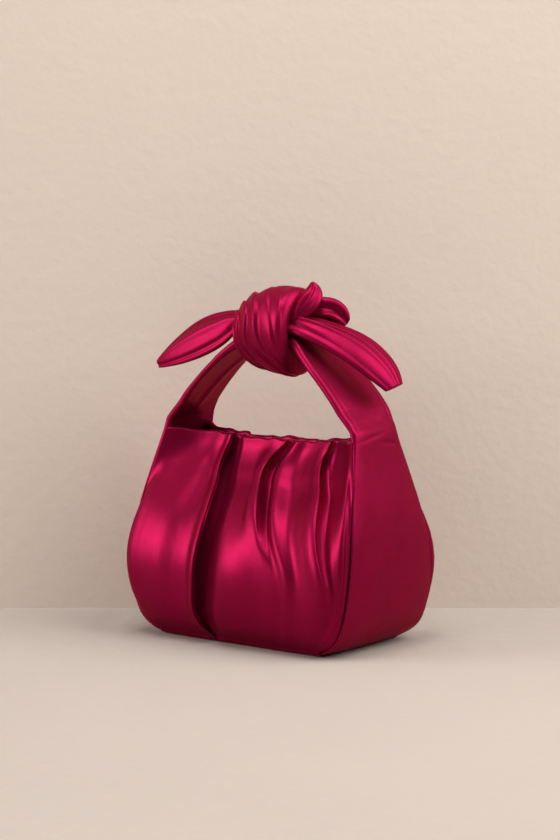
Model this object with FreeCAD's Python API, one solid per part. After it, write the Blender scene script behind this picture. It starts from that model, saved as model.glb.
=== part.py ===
"""A small satin hobo bag with a knotted top handle, built as its sewn pieces.

Millimetres. +Z is up, +X runs along the bag's length and -Y is the front.
The origin is the middle of the flat underside of the base, on the surface the bag stands on.

Two gathered panels, front and back, are sewn to side gussets and a base. Each gusset narrows
upwards into a wide strap, and the two straps are tied in a knot over the mouth, so that their
ends stand out of it as two pointed tails. Inside there are foam, a lining, satin facings round
the mouth, a magnetic snap, a slip pocket and a stiff board in the base.
"""

import FreeCAD
import Part
import functools
import math
import os

from FreeCAD import Vector

# ---- Driving dimensions -------------------------------------------------------------------

RIM_Z = 131.0  # height of the mouth's rim at its four corners
RIM_SAG = 4.5  # how much lower the rim hangs at its middle
RIM_HALF_GAP = 7.4  # from the middle plane to the outer face of the pinched rim
BASE_HALF_X = 66.0  # half the length of the flat base
BASE_HALF_Y = 42.4  # half the width of the base, at its turned-up edges
BASE_EDGE_Z = 3.9  # height of the base's turned-up edges
BASE_EDGE_R = 3.6  # their outer bend radius
BASE_END_GAP = 0.7  # from its ends to the sewn edge of a gusset

SATIN = 1.2  # bonded satin of the outer pieces
FOAM = 1.8  # foam between satin and lining
LINING = 0.8  # lining, and the satin facing that replaces it at the mouth
PLY_GAP = 0.25  # play between two plies
SEAM_GAP = 0.4  # clearance between a wall that opens and the gusset and base it is sewn to
STACK = SATIN + FOAM + LINING + 2 * PLY_GAP  # full thickness of a wall
FACING_DEPTH = 27.0  # height of the facing below the rim
LIP_INSET = 3.4  # how much further from the corners the foam and facing end at the rim
LIP_INSET_DEPTH = 26.0  # how far below the rim that begins
HEM = 1.2  # how far the rim of the satin stands over the foam behind it

GUSSET_CROWN = 2.2  # how far a gusset bulges outwards at its middle
GUSSET_LINING_TOP_Z = 117.0
GUSSET_LINING_BOTTOM_Z = 5.6
GUSSET_FOOT_Z = 0.5  # height of the middle of its bottom edge, just off the ground
GUSSET_TURN_Z = 9.0  # height over which it turns under the bag
BOARD_THICKNESS = 1.4
BOARD_CORNER_R = 8.0

SNAP_R = 6.0  # magnetic snap
SNAP_Z = 118.6
SNAP_STUD_R = 2.4
SNAP_STUD_LENGTH = 1.0
SNAP_STUD_PLAY = 0.9  # radial room for the stud, which leaves its well on an arc
SNAP_PLATE = 2.2
SNAP_CLEARANCE = 0.3
WASHER_R = 4.6
WASHER = 0.6

POCKET_HALF_X = 42.0
POCKET_BOTTOM_Z = 34.0
POCKET_TOP_Z = 72.0

STRAP_WIDTH = 46.0
STRAP_THICKNESS = 5.6
STRAP_PIVOT_Z = 142.0  # the handle folds forward and back about this height
STRAP_CLEARANCE = 0.4
KNOT_Z = 197.0
TAIL_PIVOT_CLEARANCE = 0.4

# The sewn edge between a panel and a gusset: length, width and height from the middle of
# the bag, from the base up to the foot of the strap.
SEAM = [
    (BASE_HALF_X, 42.8, 4.3),
    (BASE_HALF_X + 8.0, 44.0, 7.4),
    (BASE_HALF_X + 15.5, 44.8, 16.0),
    (BASE_HALF_X + 20.4, 44.6, 33.0),
    (BASE_HALF_X + 22.0, 42.8, 54.0),
    (BASE_HALF_X + 20.6, 38.8, 78.0),
    (BASE_HALF_X + 17.0, 32.4, 101.0),
    (BASE_HALF_X + 13.0, 27.2, 120.0),
    (BASE_HALF_X + 9.8, 23.9, 134.0),
]

# Half the bag's width at the middle of a panel, against height: it rolls out over the base,
# bellies, and runs in to the pinched lips of the mouth.
BELLY = [
    (0.0, 40.0),
    (4.0, 42.8),
    (12.0, 49.0),
    (26.0, 54.0),
    (46.0, 55.5),
    (64.0, 51.5),
    (80.0, 42.5),
    (92.0, 30.5),
    (101.0, 18.5),
    (107.0, 11.3),
    (112.0, RIM_HALF_GAP + 0.4),
    (118.0, RIM_HALF_GAP),
    (126.0, RIM_HALF_GAP),
    (140.0, RIM_HALF_GAP),
]

# The gathers of a panel. Each is a ridge that runs from the rim down to the base: how far
# along the bag it lies and how far it stands out at five heights, and how wide it runs out
# on its -X side and on its +X side.
GATHER_HEIGHTS = [4.3, 36.0, 70.0, 104.0, 131.0]
GATHERS = [
    ([-44.0, -63.0, -66.0, -62.0, -59.0], [0.5, 2.8, 3.6, 2.6, 0.6], 11.0, 11.0),
    ([-19.0, -24.5, -23.0, -32.5, -32.5], [1.0, 4.6, 5.0, 4.4, 2.6], 10.0, 4.5),
    ([-9.0, -3.0, -2.5, -10.0, -19.0], [0.5, 3.0, 3.4, 2.8, 1.4], 6.0, 14.0),
    ([24.0, 31.0, 22.5, 2.5, 11.5], [0.3, 1.2, 3.8, 4.4, 2.6], 9.0, 4.5),
    ([45.0, 50.0, 37.0, 16.0, 21.0], [0.3, 1.2, 2.0, 2.4, 1.0], 6.0, 8.0),
    ([57.5, 74.0, 65.5, 49.5, 48.0], [0.3, 1.8, 4.0, 3.8, 2.4], 9.0, 4.5),
    ([63.0, 82.0, 81.0, 73.0, 68.0], [0.3, 1.5, 2.2, 2.2, 0.8], 5.0, 5.0),
]


# ---- Shared geometry ----------------------------------------------------------------------


def spline(points):
    """A smooth open curve through points, evenly parametrised."""
    curve = Part.BSplineCurve()
    curve.interpolate([Vector(*p) for p in points], Parameters=list(range(len(points))))
    return curve


def place_at(curve, axis, value):
    """The parameter at which a curve that climbs along an axis reaches a value."""
    low, high = curve.FirstParameter, curve.LastParameter
    for _ in range(32):
        middle = (low + high) / 2
        low, high = (middle, high) if curve.value(middle)[axis] < value else (low, middle)
    return (low + high) / 2


SEAM_CURVE = spline(SEAM)
SEAM_BOTTOM_Z = SEAM[0][2]
SEAM_TOP_Z = SEAM[-1][2]
BELLY_CURVE = spline([(z, y, 0) for z, y in BELLY])


@functools.lru_cache(maxsize=None)
def belly_at(z):
    """Half the bag's width at the middle of a panel, at a height."""
    return BELLY_CURVE.value(place_at(BELLY_CURVE, 0, z)).y


@functools.lru_cache(maxsize=None)
def seam_point(z):
    """The sewn edge between the right gusset and a panel, at a height."""
    return SEAM_CURVE.value(place_at(SEAM_CURVE, 2, z))


def seam_normal(z):
    """Unit normal of the sewn edge in the XZ plane, pointing out of the bag."""
    along = SEAM_CURVE.tangent(place_at(SEAM_CURVE, 2, z))[0]
    return Vector(along.z, 0, -along.x).normalize()


def heights(bottom_z, top_z, rows):
    """Heights from one to another, closer together where the sewn edge turns."""
    low, high = place_at(SEAM_CURVE, 2, bottom_z), place_at(SEAM_CURVE, 2, top_z)
    return [SEAM_CURVE.value(low + (high - low) * j / (rows - 1)).z for j in range(rows)]


def face_through(grid):
    """One smooth face through a grid of points."""
    surface = Part.BSplineSurface()
    surface.interpolate(grid)
    return surface.toShape()


def solid_from(faces):
    """The closed solid that these faces bound."""
    shell = Part.makeShell(faces)
    shell.sewShape()
    solid = Part.makeSolid(shell.Shells[0] if shell.Shells else shell)
    if solid.Volume < 0:
        solid.reverse()
    return solid


def slab(outer, inner):
    """A sheet between two grids of points, closed by ruled strips round its edge."""
    front, back = face_through(outer), face_through(inner)
    strips = [Part.makeRuledSurface(a, b) for a, b in zip(front.Edges, back.Edges)]
    return solid_from([front, back] + strips)


def closed_curve(ring):
    """A smooth closed wire through points, evenly parametrised so that it lofts cleanly."""
    curve = Part.BSplineCurve()
    curve.interpolate(ring, PeriodicFlag=True, Parameters=list(range(len(ring) + 1)))
    return Part.Wire(curve.toShape())


def padded_section(centre, across, through, width, thickness):
    """A flat section with two faces and two half-round edges."""
    side = across * ((width - thickness) / 2)
    up = through * (thickness / 2)
    tip = across * (width / 2)
    right_top, right_low = centre + side + up, centre + side - up
    left_top, left_low = centre - side + up, centre - side - up
    return Part.Wire([
        Part.LineSegment(left_top, right_top).toShape(),
        Part.Arc(right_top, centre + tip, right_low).toShape(),
        Part.LineSegment(right_low, left_low).toShape(),
        Part.Arc(left_low, centre - tip, left_top).toShape(),
    ])


def band(route):
    """A padded band through stations of (centre, width direction, width, thickness)."""
    wires = []
    for i, (centre, across, width, thickness) in enumerate(route):
        run = route[min(i + 1, len(route) - 1)][0] - route[max(i - 1, 0)][0]
        across = (across - run * (across.dot(run) / run.dot(run))).normalize()
        through = run.normalize().cross(across)
        wires.append(padded_section(centre, across, through, width, thickness))
    return Part.makeLoft(wires, True, False)


def cylinder(centre, axis, radius, length):
    """A cylinder centred on a point, along an axis."""
    return Part.makeCylinder(radius, length, centre - axis * (length / 2), axis)


def mirrored_x(shape):
    return shape.mirror(Vector(0, 0, 0), Vector(1, 0, 0))


def mirrored_y(shape):
    return shape.mirror(Vector(0, 0, 0), Vector(0, 1, 0))


# ---- Panels, foam, lining and facings ------------------------------------------------------


def wall_half_width(x, z):
    """Half the bag's width on the outer face of a panel, without its gathers."""
    edge = seam_point(z)
    share = min(abs(x) / (edge.x - SATIN - SEAM_GAP), 1.0)
    return edge.y + (belly_at(z) - edge.y) * (1 - share**5.5)


def wall_point(x, z, depth):
    """A point of the front wall, depth behind its outer face in the YZ plane."""
    step = 0.5
    rise = (wall_half_width(x, z + step) - wall_half_width(x, z - step)) / (2 * step)
    return Vector(x, -wall_half_width(x, z), z) + Vector(0, 1, rise).normalize() * depth


@functools.lru_cache(maxsize=None)
def gathers_at(z):
    """Where each gather lies and how far it stands out, at a height."""
    spots = []
    for runs, lifts, soft, sharp in GATHERS:
        line = spline([(h, x, lift) for h, x, lift in zip(GATHER_HEIGHTS, runs, lifts)])
        low, high = GATHER_HEIGHTS[0], GATHER_HEIGHTS[-1]
        point = line.value(place_at(line, 0, min(max(z, low), high)))
        spots.append((point.y, max(point.z, 0.0), soft, sharp))
    return spots


def gather(x, z):
    """How far the gathers lift the satin off the wall at a point."""
    lift = 0.0
    for at, height, soft, sharp in gathers_at(z):
        across = x - at * BASE_HALF_X / 66.0
        lift += height * math.exp(-((across / (soft if across < 0 else sharp)) ** 2))
    return lift


def wall_ply(depth, thickness, inset, bottom_z, top_z, top_drop=0.0, gathered=False):
    """A ply of the front wall between two heights, as a sheet that follows the wall."""
    columns = 37 if gathered else 15
    at_rim = top_z == RIM_Z
    outer, inner = [], []
    for level in heights(bottom_z, top_z, 25):
        t = (level - bottom_z) / (top_z - bottom_z)
        short = 0.0 if gathered else LIP_INSET * max(0.0, 1 - (RIM_Z - level) / LIP_INSET_DEPTH)
        edge = seam_point(level) - seam_normal(level) * (inset + short)
        outer_row, inner_row = [], []
        for i in range(columns):
            w = 2 * i / (columns - 1) - 1
            sag = (RIM_SAG * (1 - w * w) if at_rim else 0.0) + top_drop
            z = level - sag * t + (edge.z - level) * abs(w) ** 6
            x = edge.x * w
            proud = gather(x, z) * (1 - abs(w) ** 8) * min(1.0, 12 * t) if gathered else 0.0
            outer_row.append(wall_point(x, z, depth - proud))
            inner_row.append(wall_point(x, z, depth + thickness))
        outer.append(outer_row)
        inner.append(inner_row)
    return slab(outer, inner)


def front_wall():
    """The plies of the front wall, each as its own solid."""
    bottom = SEAM_BOTTOM_Z
    foam_depth = SATIN + PLY_GAP
    lining_depth = foam_depth + FOAM + PLY_GAP
    inset = STACK + SEAM_GAP
    facing_bottom = RIM_Z - FACING_DEPTH
    return {
        "panel": wall_ply(0, SATIN, SATIN + SEAM_GAP, bottom, RIM_Z, gathered=True),
        "foam": wall_ply(foam_depth, FOAM, inset, bottom + 0.6, RIM_Z, HEM),
        "lining": wall_ply(lining_depth, LINING, inset, bottom + 1.0, facing_bottom - 0.6),
        "facing": wall_ply(lining_depth, LINING, inset, facing_bottom, RIM_Z, HEM / 2),
    }


# ---- Side gussets and base ---------------------------------------------------------------


def gusset_ply(depth, thickness, edge_inset, bottom_z, top_z, columns=7):
    """A ply of the right gusset, depth inside its outer face."""
    layers = []
    for inward in (depth, depth + thickness):
        grid = []
        for z in heights(bottom_z, top_z, 15):
            edge, out = seam_point(z), seam_normal(z)
            climb = (z - SEAM_BOTTOM_Z) / (SEAM_TOP_Z - SEAM_BOTTOM_Z)
            foot = max(0.0, 1 - (z - SEAM_BOTTOM_Z) / GUSSET_TURN_Z) ** 2
            row = []
            for i in range(columns):
                w = 2 * i / (columns - 1) - 1
                full = 1 - w**4
                bulge = GUSSET_CROWN * (1 - foot) * (1 - climb**4) * full
                dip = foot * (edge.z - GUSSET_FOOT_Z) * full
                point = edge + out * (bulge - inward) - Vector(0, 0, dip)
                row.append(Vector(point.x, (edge.y - edge_inset) * w, point.z))
            grid.append(row)
        layers.append(grid)
    return slab(*layers)


def right_gusset():
    """The plies of the right gusset. Its satin has a round seat for the foot of the strap."""
    satin = gusset_ply(0, SATIN, 0, SEAM_BOTTOM_Z, SEAM_TOP_Z)
    seat = cylinder(
        Vector(SEAM[-1][0], 0, STRAP_PIVOT_Z),
        Vector(1, 0, 0),
        STRAP_WIDTH / 2 + STRAP_CLEARANCE,
        8 * STRAP_THICKNESS,
    )
    depth = SATIN + PLY_GAP
    inset = STACK + 2 * SEAM_GAP
    ends = (GUSSET_LINING_BOTTOM_Z, GUSSET_LINING_TOP_Z)
    return {
        "gusset": satin.cut(seat),
        "foam": gusset_ply(depth, FOAM, inset, *ends),
        "lining": gusset_ply(depth + FOAM + PLY_GAP, LINING, inset, *ends),
    }


def base_panel():
    """The satin base: a flat tray whose long edges turn up to meet the panels."""
    half = BASE_HALF_X - BASE_END_GAP
    outer, inner = BASE_EDGE_R, BASE_EDGE_R - SATIN
    diagonal = math.sqrt(0.5)
    y_bend = BASE_HALF_Y - outer

    def corner(radius, side):
        start = Vector(-half, side * (y_bend + radius), outer)
        middle = Vector(-half, side * (y_bend + radius * diagonal), outer - radius * diagonal)
        end = Vector(-half, side * y_bend, outer - radius)
        return start, middle, end

    def bend(points):
        return Part.Arc(*points).toShape()

    def straight(a, b):
        return Part.LineSegment(a, b).toShape()

    lip = Vector(0, 0, BASE_EDGE_Z - outer)
    front_out, back_out = corner(outer, -1), corner(outer, 1)
    front_in, back_in = corner(inner, -1), corner(inner, 1)
    edges = [
        straight(front_out[0] + lip, front_out[0]),
        bend(front_out),
        straight(front_out[2], back_out[2]),
        bend(back_out[::-1]),
        straight(back_out[0], back_out[0] + lip),
        straight(back_out[0] + lip, back_in[0] + lip),
        straight(back_in[0] + lip, back_in[0]),
        bend(back_in),
        straight(back_in[2], front_in[2]),
        bend(front_in[::-1]),
        straight(front_in[0], front_in[0] + lip),
        straight(front_in[0] + lip, front_out[0] + lip),
    ]
    return Part.Face(Part.Wire(edges)).extrude(Vector(2 * half, 0, 0))


def rounded_plate(half_x, half_y, z, thickness, radius):
    plate = Part.makeBox(
        2 * half_x, 2 * half_y, thickness, Vector(-half_x, -half_y, z)
    )
    upright = [e for e in plate.Edges if abs(e.Vertexes[0].Z - e.Vertexes[1].Z) > thickness / 2]
    return plate.makeFillet(radius, upright)


# ---- Magnetic snap and slip pocket ---------------------------------------------------------


def snap_halves():
    """Both halves of the snap, each on its facing, with the stud in its well."""
    face = RIM_HALF_GAP - STACK - PLY_GAP  # from the middle plane to a snap's back
    along = Vector(0, 1, 0)
    meet = face - SNAP_PLATE  # where the two halves face each other
    socket = Part.makeCylinder(
        SNAP_R, meet - SNAP_CLEARANCE + face, Vector(0, -face, SNAP_Z), along
    )
    rims = [e for e in socket.Edges if e.BoundBox.YLength < 0.01]
    socket = socket.makeChamfer(0.4, rims[:1])
    well = SNAP_STUD_LENGTH + 2 * SNAP_CLEARANCE
    socket = socket.cut(
        Part.makeCylinder(
            SNAP_STUD_R + SNAP_STUD_PLAY,
            well,
            Vector(0, meet - SNAP_CLEARANCE - well, SNAP_Z),
            along,
        )
    )
    plate = Part.makeCylinder(SNAP_R, SNAP_PLATE, Vector(0, face, SNAP_Z), -along)
    post = Part.makeCylinder(
        SNAP_STUD_R, SNAP_PLATE + SNAP_CLEARANCE + SNAP_STUD_LENGTH, Vector(0, face, SNAP_Z), -along
    )
    return {"socket": socket, "stud": plate.fuse(post).removeSplitter()}


WASHER_Y = RIM_HALF_GAP - SATIN - PLY_GAP - FOAM + WASHER  # outer face of a washer


def snap_washer():
    """The prong washer of the front half, in a hole of the foam behind the facing."""
    start = Vector(0, -WASHER_Y, SNAP_Z)
    return Part.makeCylinder(WASHER_R, WASHER, start, Vector(0, 1, 0))


def washer_room():
    """The hole in the foam for a washer."""
    start = Vector(0, -WASHER_Y - PLY_GAP, SNAP_Z)
    return Part.makeCylinder(WASHER_R + PLY_GAP, FOAM, start, Vector(0, 1, 0))


def slip_pocket():
    """A flat lining pocket that lies on the back lining, open along its top."""
    rows, columns = 9, 9
    layers = []
    for depth in (STACK + PLY_GAP, STACK + PLY_GAP + LINING):
        layers.append([
            [
                wall_point(
                    POCKET_HALF_X * (2 * i / (columns - 1) - 1),
                    POCKET_BOTTOM_Z + (POCKET_TOP_Z - POCKET_BOTTOM_Z) * j / (rows - 1),
                    depth,
                )
                for i in range(columns)
            ]
            for j in range(rows)
        ])
    return mirrored_y(slab(*layers))


# ---- Handle --------------------------------------------------------------------------------

ALONG_Y = Vector(0, 1, 0)

# The middle of each strap in the XZ plane, from its foot to the knot: its place as a share
# of the reach from the middle of the bag to the crease, its height, and its width and
# thickness as shares of the strap's own.
STRAP_REACH = BASE_HALF_X + 7.7
STRAP_ROUTE = [
    (1.061, 114.0, 1.0, 0.70),
    (1.026, 127.0, 1.0, 0.70),
    (1.0, 137.0, 0.98, 0.74),
    (0.89, 145.8, 0.97, 0.95),
    (0.773, 155.4, 0.97, 1.0),
    (0.589, 168.2, 0.92, 1.05),
    (0.421, 180.5, 0.82, 1.2),
    (0.271, 189.5, 0.68, 1.5),
    (0.122, 196.0, 0.58, 1.8),
]


def strap(side):
    """One strap, rounded at its foot about the line that the handle folds on."""
    route = [
        (Vector(side * STRAP_REACH * x, 0, z), ALONG_Y, STRAP_WIDTH * w, STRAP_THICKNESS * t)
        for x, z, w, t in STRAP_ROUTE
    ]
    body = band(route)
    foot = Vector(side * STRAP_REACH * STRAP_ROUTE[0][0], 0, STRAP_PIVOT_Z)
    span = 10 * STRAP_THICKNESS
    below = Part.makeBox(
        span, 2 * STRAP_WIDTH, STRAP_PIVOT_Z, Vector(foot.x - span / 2, -STRAP_WIDTH, 0)
    )
    disc = cylinder(foot, Vector(1, 0, 0), STRAP_WIDTH / 2, 2 * span)
    return body.cut(below.cut(disc))


# The knot's big front wrap: sections across its own axis, as (x, half depth, half height).
WRAP_SECTIONS = [
    (-33.0, 9.0, 9.0),
    (-28.0, 17.0, 18.5),
    (-16.0, 22.5, 25.0),
    (-2.0, 24.0, 27.0),
    (8.0, 21.5, 25.5),
    (13.5, 14.0, 18.0),
]
WRAP_GATHER = 0.035  # height of its gathers, as a share of its radius
WRAP_FOLDS = 6
WRAP_LEAN = 0.2  # how far a section leans along X for each unit of height

# The smaller loop behind and to the right of the wrap.
LOOP_ROUTE = [
    ((9.0, 1.0, 203.0), 13.0, 9.0),
    ((12.0, 3.0, 211.0), 17.0, 10.0),
    ((16.0, 7.0, 218.5), 20.0, 10.5),
    ((22.5, 11.5, 220.0), 22.0, 11.0),
    ((30.0, 15.5, 214.5), 22.0, 11.5),
    ((34.5, 18.0, 205.5), 21.0, 11.0),
    ((33.0, 17.0, 196.0), 18.0, 10.0),
    ((25.0, 12.0, 190.0), 14.0, 9.0),
]

# Each tail: where it leaves the knot, then stations of centre, width and thickness.
LEFT_TAIL_PIVOT = Vector(-36.0, -3.0, 198.0)
LEFT_TAIL = [
    ((-30.0, -3.0, 199.0), 20.0, 10.0),
    ((-42.0, -3.5, 197.5), 24.0, 10.5),
    ((-56.0, -4.5, 193.5), 28.0, 10.0),
    ((-72.0, -5.5, 186.5), 27.0, 8.5),
    ((-86.0, -6.0, 178.0), 20.0, 7.0),
    ((-96.0, -6.0, 170.5), 8.0, 5.0),
]
LEFT_TAIL_TILT = 0.75
RIGHT_TAIL_PIVOT = Vector(21.0, -8.0, 201.0)
RIGHT_TAIL = [
    ((15.0, -9.5, 202.0), 15.0, 9.0),
    ((29.0, -6.5, 199.5), 20.0, 9.5),
    ((44.0, -1.0, 194.0), 24.0, 9.0),
    ((60.0, 5.0, 185.0), 26.0, 8.0),
    ((74.0, 10.0, 172.5), 22.0, 7.0),
    ((82.0, 12.0, 162.0), 9.0, 5.0),
]
RIGHT_TAIL_TILT = 0.6


def gathered_ring(x, half_y, half_z, lean, twist):
    """A closed section of the wrap: an ellipse with soft gathers round it."""
    ring = []
    for degrees in range(0, 360, 8):
        a = math.radians(degrees)
        fold = 1 + WRAP_GATHER * math.cos(WRAP_FOLDS * a + twist)
        z = half_z * fold * math.sin(a)
        ring.append(Vector(x + lean * z, half_y * fold * math.cos(a), KNOT_Z + z))
    return closed_curve(ring)


def knot_wrap():
    """The front wrap, its gathers running round it on a slant."""
    rings = [
        gathered_ring(x, y, z, WRAP_LEAN, 0.035 * x) for x, y, z in WRAP_SECTIONS
    ]
    return Part.makeLoft(rings, True, False)


def tail_solid(stations, tilt, pivot, outward):
    """A tail, with a round root about the line along Y that it lifts on."""
    route = [
        (Vector(*centre), Vector(0, 1, tilt * outward), width, thickness)
        for centre, width, thickness in stations
    ]
    body = band(route)
    root_r = stations[0][2] / 2 + 0.6
    reach = 60.0
    behind = Part.makeBox(
        reach,
        2 * reach,
        2 * reach,
        Vector(pivot.x if outward < 0 else pivot.x - reach, pivot.y - reach, pivot.z - reach),
    )
    disc = cylinder(pivot, ALONG_Y, root_r, 2 * reach)
    return body.cut(behind.cut(disc)), root_r


def handle():
    """Straps, knot and tails, trimmed to each other so that they meet face to face."""
    wrap = knot_wrap()
    loop = band([(Vector(*c), Vector(0.35, 1, 0), w, t) for c, w, t in LOOP_ROUTE])
    left_tail, left_r = tail_solid(LEFT_TAIL, LEFT_TAIL_TILT, LEFT_TAIL_PIVOT, -1)
    right_tail, right_r = tail_solid(RIGHT_TAIL, RIGHT_TAIL_TILT, RIGHT_TAIL_PIVOT, 1)
    left_seat = cylinder(LEFT_TAIL_PIVOT, ALONG_Y, left_r + TAIL_PIVOT_CLEARANCE, 60.0)
    right_seat = cylinder(RIGHT_TAIL_PIVOT, ALONG_Y, right_r + TAIL_PIVOT_CLEARANCE, 30.0)
    return {
        "strap_left": strap(-1).cut(wrap),
        "strap_right": strap(1).cut(wrap),
        "knot_wrap": wrap.cut(left_seat).cut(right_seat),
        "knot_loop": loop.cut(wrap).cut(right_seat),
        "tail_left": left_tail,
        "tail_right": right_tail,
    }


# ---- The whole bag ---------------------------------------------------------------------------


def bag():
    """Every piece by name."""
    pieces = {}
    for side, wall in (("front", front_wall()), ("back", front_wall())):
        for ply, solid in wall.items():
            pieces[f"{side}_{ply}"] = solid if side == "front" else mirrored_y(solid)
    for side in ("left", "right"):
        for ply, solid in right_gusset().items():
            name = f"gusset_{side}" if ply == "gusset" else f"gusset_{ply}_{side}"
            pieces[name] = solid if side == "right" else mirrored_x(solid)
    pieces["base_panel"] = base_panel()
    board_half_y = BASE_HALF_Y - STACK - SEAM_GAP
    board_z = SATIN + PLY_GAP
    pieces["base_board"] = rounded_plate(
        BASE_HALF_X - BASE_END_GAP, board_half_y, board_z, BOARD_THICKNESS, BOARD_CORNER_R
    )
    pieces["base_lining"] = rounded_plate(
        BASE_HALF_X - BASE_END_GAP, board_half_y, board_z + BOARD_THICKNESS + PLY_GAP, LINING, BOARD_CORNER_R
    )
    for half, solid in snap_halves().items():
        pieces[f"snap_{half}"] = solid
    pieces["snap_washer_front"] = snap_washer()
    pieces["snap_washer_back"] = mirrored_y(snap_washer())
    pieces["front_foam"] = pieces["front_foam"].cut(washer_room())
    pieces["back_foam"] = pieces["back_foam"].cut(mirrored_y(washer_room()))
    pieces["slip_pocket"] = slip_pocket()
    pieces.update(handle())
    return pieces


os.makedirs("parts", exist_ok=True)
for name, solid in bag().items():
    solid.exportStep(f"parts/{name}.step")
    print(f"{name}: solids {len(solid.Solids)}, valid {solid.isValid()}, {solid.Volume:.0f} mm3")
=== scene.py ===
import bpy
import numpy as np
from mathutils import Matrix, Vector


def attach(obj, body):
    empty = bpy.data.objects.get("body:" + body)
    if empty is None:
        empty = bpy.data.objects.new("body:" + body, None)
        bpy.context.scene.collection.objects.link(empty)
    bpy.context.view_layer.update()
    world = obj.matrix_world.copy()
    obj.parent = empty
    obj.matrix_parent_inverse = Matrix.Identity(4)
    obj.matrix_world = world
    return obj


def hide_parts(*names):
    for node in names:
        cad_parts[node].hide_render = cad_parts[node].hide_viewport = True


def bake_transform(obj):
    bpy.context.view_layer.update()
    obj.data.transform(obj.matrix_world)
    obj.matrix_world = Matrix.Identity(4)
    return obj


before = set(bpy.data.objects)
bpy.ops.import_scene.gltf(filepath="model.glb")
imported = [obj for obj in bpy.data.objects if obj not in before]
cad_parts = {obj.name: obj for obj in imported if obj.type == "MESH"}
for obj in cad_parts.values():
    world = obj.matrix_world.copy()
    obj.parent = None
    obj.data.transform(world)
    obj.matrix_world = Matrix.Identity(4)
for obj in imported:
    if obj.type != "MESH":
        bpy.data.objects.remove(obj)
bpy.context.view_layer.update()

MM = 0.001

# ---- Camera, floor, wall and lights --------------------------------------------------------
# A small studio set: a pale plaster wall that stands on a pale stone floor, a big soft light
# low on the left, a weak one above, and one high at the back right for the straps.

scene = bpy.context.scene
scene.view_settings.view_transform = "Standard"

camera_data = bpy.data.cameras.new("camera")
camera_data.lens = 100
camera_data.sensor_width = 36
camera_data.sensor_fit = "VERTICAL"
camera_data.sensor_height = 36
camera = bpy.data.objects.new("camera", camera_data)
camera.location = (0.910, -1.165, 0.292)
CAMERA_TURN, CAMERA_DIP = np.radians(37.97), np.radians(5.9)
camera.rotation_euler = (np.pi / 2 - CAMERA_DIP, 0, CAMERA_TURN)
scene.collection.objects.link(camera)
scene.camera = camera


def mesh_piece(name, points, faces):
    """A smooth mesh object from an array of points in millimetres and an array of faces."""
    mesh = bpy.data.meshes.new(name)
    points = np.asarray(points, float).reshape(-1, 3) * MM
    faces = np.asarray(faces, int)
    mesh.vertices.add(len(points))
    mesh.vertices.foreach_set("co", points.astype(np.float32).ravel())
    mesh.loops.add(faces.size)
    mesh.loops.foreach_set("vertex_index", faces.astype(np.int32).ravel())
    mesh.polygons.add(len(faces))
    starts = np.arange(len(faces)) * faces.shape[1]
    mesh.polygons.foreach_set("loop_start", starts.astype(np.int32))
    mesh.polygons.foreach_set("use_smooth", np.full(len(faces), True))
    mesh.update(calc_edges=True)
    mesh.validate()
    piece = bpy.data.objects.new(name, mesh)
    scene.collection.objects.link(piece)
    return piece


def node(tree, kind, at=(0, 0), **settings):
    """A node of a tree, with its settings."""
    made = tree.nodes.new(kind)
    made.location = at
    for key, value in settings.items():
        setattr(made, key, value)
    return made


def material(name, base, roughness, **shader):
    """A Principled material with constant settings on its shader, and its tree."""
    made = bpy.data.materials.new(name)
    made.use_nodes = True
    tree = made.node_tree
    principled = tree.nodes["Principled BSDF"]
    principled.inputs["Base Color"].default_value = (*base, 1)
    principled.inputs["Roughness"].default_value = roughness
    for key, value in shader.items():
        principled.inputs[key.replace("_", " ")].default_value = value
    return made, tree, principled


def mottled(name, low, high, scale, depth):
    """Matt stone, plaster or card: two near colours mixed by noise, and a shallow relief."""
    made, tree, principled = material(name, low, 0.9)
    where = node(tree, "ShaderNodeTexCoord", (-900, 0))
    cloud = node(tree, "ShaderNodeTexNoise", (-700, 150))
    cloud.inputs["Scale"].default_value = 5
    cloud.inputs["Detail"].default_value = 6
    grain = node(tree, "ShaderNodeTexNoise", (-700, -150))
    grain.inputs["Scale"].default_value = scale
    grain.inputs["Detail"].default_value = 8
    mix = node(tree, "ShaderNodeMix", (-400, 150), data_type="RGBA")
    mix.inputs["A"].default_value = (*low, 1)
    mix.inputs["B"].default_value = (*high, 1)
    bump = node(tree, "ShaderNodeBump", (-250, -150))
    bump.inputs["Strength"].default_value = 0.5
    bump.inputs["Distance"].default_value = depth
    link = tree.links.new
    link(where.outputs["Object"], cloud.inputs["Vector"])
    link(where.outputs["Object"], grain.inputs["Vector"])
    link(cloud.outputs["Fac"], mix.inputs["Factor"])
    link(mix.outputs["Result"], principled.inputs["Base Color"])
    link(grain.outputs["Fac"], bump.inputs["Height"])
    link(bump.outputs["Normal"], principled.inputs["Normal"])
    return made


view_right = np.array([np.cos(CAMERA_TURN), np.sin(CAMERA_TURN), 0])
view_in = np.array([-view_right[1], view_right[0], 0])
WALL_BEHIND = 97
foot_left = view_in * WALL_BEHIND - view_right * 4000
foot_right = view_in * WALL_BEHIND + view_right * 4000
floor = mesh_piece("floor", [
    foot_left, foot_right, foot_right - view_in * 5000, foot_left - view_in * 5000,
], [[3, 2, 1, 0]])
wall = mesh_piece("wall", [
    foot_left, foot_right, foot_right + [0, 0, 4000], foot_left + [0, 0, 4000],
], [[0, 1, 2, 3]])
floor.data.materials.append(mottled("stone", (0.36, 0.312, 0.275), (0.40, 0.345, 0.305), 60, 0.002))
plaster = mottled("plaster", (0.65, 0.548, 0.465), (0.68, 0.578, 0.49), 150, 0.0006)
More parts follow.
